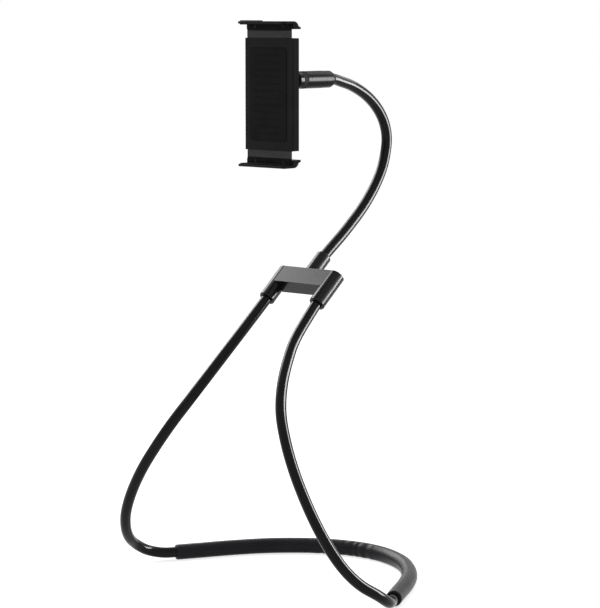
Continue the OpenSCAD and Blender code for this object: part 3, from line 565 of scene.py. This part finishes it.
EYE_DEPTH = EYE_R + WIRE_R
for side, jaw, name in ((1, "upper_jaw", "upper_spring"), (-1, "lower_jaw", "lower_spring")):
    lo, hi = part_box(name)
    mid = (lo + hi) / 2
    piece = coil(f"{name}_coil", mid.x, mid.y, lo.z + EYE_DEPTH, hi.z - EYE_DEPTH)
    finished(piece, steel_skin, "spring_steel", name)
    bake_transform(piece)


# Floor, camera and light
def background_rays(tree):
    """1 for the rays that see the white background: the camera's, and those of gloss and glass."""
    kinds = node(tree, "ShaderNodeLightPath")
    factor = kinds.outputs["Is Camera Ray"]
    for kind in ("Is Glossy Ray", "Is Transmission Ray"):
        either = node(tree, "ShaderNodeMath", operation="MAXIMUM")
        tree.links.new(factor, either.inputs[0])
        tree.links.new(kinds.outputs[kind], either.inputs[1])
        factor = either.outputs[0]
    return factor


def mixed(tree, factor, first, second):
    mix = node(tree, "ShaderNodeMixShader")
    tree.links.new(factor, mix.inputs[0])
    tree.links.new(first, mix.inputs[1])
    tree.links.new(second, mix.inputs[2])
    return mix.outputs[0]


FLOOR = 8
FLOOR_GAP = 0.0002
floor_mesh = bpy.data.meshes.new("floor")
floor_mesh.from_pydata(
    [(-FLOOR, -FLOOR, 0), (FLOOR, -FLOOR, 0), (FLOOR, FLOOR, 0), (-FLOOR, FLOOR, 0)],
    [], [(0, 1, 2, 3)])
floor = bpy.data.objects.new("floor", floor_mesh)
bpy.context.scene.collection.objects.link(floor)
floor.location.z = -FLOOR_GAP
pale = bpy.data.materials.new("floor_white")
pale.use_nodes = True
tree = pale.node_tree
tree.nodes.clear()
out = node(tree, "ShaderNodeOutputMaterial")
matt = node(tree, "ShaderNodeBsdfDiffuse", Color=(0.8, 0.8, 0.8, 1))
glow = node(tree, "ShaderNodeEmission", Color=(1, 1, 1, 1), Strength=0.7)
both = node(tree, "ShaderNodeAddShader")
tree.links.new(matt.outputs[0], both.inputs[0])
tree.links.new(glow.outputs[0], both.inputs[1])
tree.links.new(mixed(tree, background_rays(tree), matt.outputs[0], both.outputs[0]),
               out.inputs["Surface"])
floor_mesh.materials.append(pale)

world = bpy.data.worlds.new("studio")
world.use_nodes = True
bpy.context.scene.world = world
tree = world.node_tree
tree.nodes.clear()
out = node(tree, "ShaderNodeOutputWorld")
room = node(tree, "ShaderNodeBackground", Color=(1, 1, 1, 1), Strength=0.4)
white = node(tree, "ShaderNodeBackground", Color=(1, 1, 1, 1), Strength=1.0)
tree.links.new(mixed(tree, background_rays(tree), room.outputs[0], white.outputs[0]),
               out.inputs["Surface"])


def look(obj, target):
    obj.rotation_euler = (Vector(target) - obj.location).to_track_quat("-Z", "Y").to_euler()


def panel(name, place, target, size, power, gloss_only=None):
    """A soft rectangular lamp, or one that only shows as gloss on the pieces of a collection."""
    light = bpy.data.lights.new(name, "AREA")
    light.shape = "RECTANGLE"
    light.size, light.size_y = size
    light.energy = power
    made = bpy.data.objects.new(name, light)
    bpy.context.scene.collection.objects.link(made)
    made.location = place
    look(made, target)
    if gloss_only:
        made.visible_diffuse = False
        made.light_linking.receiver_collection = gloss_only


def gathered(name, starts, left_out=()):
    """A collection of the pieces whose names start as given."""
    made = bpy.data.collections.new(name)
    for piece in bpy.data.objects:
        if piece.type == "MESH" and piece.name.startswith(starts) and piece.name not in left_out:
            made.objects.link(piece)
    return made


glossy = gathered("glossy_pieces", ("loop_", "arm_", "hub_"), ("arm_ferrule",))
rest_pieces = gathered("rest_pieces", ("rest_",))
head_pieces = gathered("head_pieces", ("arm_ferrule", "socket_barrel", "locking_nut"))
middle = Vector((0, 0, 0.33))
# The key's upper edge lies where the hub's top mirrors the camera, so that its gloss fades across
key_place = middle + 2 * Vector((-0.664, 0.006, 0.748)) + 0.6 * Vector((-0.748, 0.007, -0.664))
panel("key", key_place, middle, (1.2, 1.2), 23)
panel("key_gloss", middle.lerp(key_place, 0.96), middle, (1.2, 1.2), 20, glossy)
panel("top", middle + 2 * Vector((0.039, 0.742, 0.669)), middle, (1.0, 1.0), 9.5)
strip_place = middle + Vector((1.06, 1.06, 0.5))
panel("strip", strip_place, middle + Vector((0, 0, 0.5)), (0.6, 1.3), 105, glossy)
head = Vector((0, 0.01, HEAD_Z))
shoulder = Vector((0.12, 0.06, 0.01))
panel("rest_strip", shoulder + 1.5 * Vector((-0.84, 0.28, 0.46)), shoulder, (0.9, 0.6), 9,
      rest_pieces)
panel("head_strip", head + 1.5 * Vector((0.67, 0.74, 0.06)), head, (0.6, 0.75), 105, head_pieces)

cam_data = bpy.data.cameras.new("camera")
camera = bpy.data.objects.new("camera", cam_data)
bpy.context.scene.collection.objects.link(camera)
azimuth, down = math.radians(42), math.radians(7.12)
camera.location = (1.710, -1.9092, 0.6221)
ahead = Vector((-math.sin(azimuth) * math.cos(down), math.cos(azimuth) * math.cos(down),
                -math.sin(down)))
camera.rotation_euler = ahead.to_track_quat("-Z", "Y").to_euler()
cam_data.sensor_width = 36
cam_data.lens = 140.33
bpy.context.scene.camera = camera
bpy.context.scene.view_settings.view_transform = "Standard"
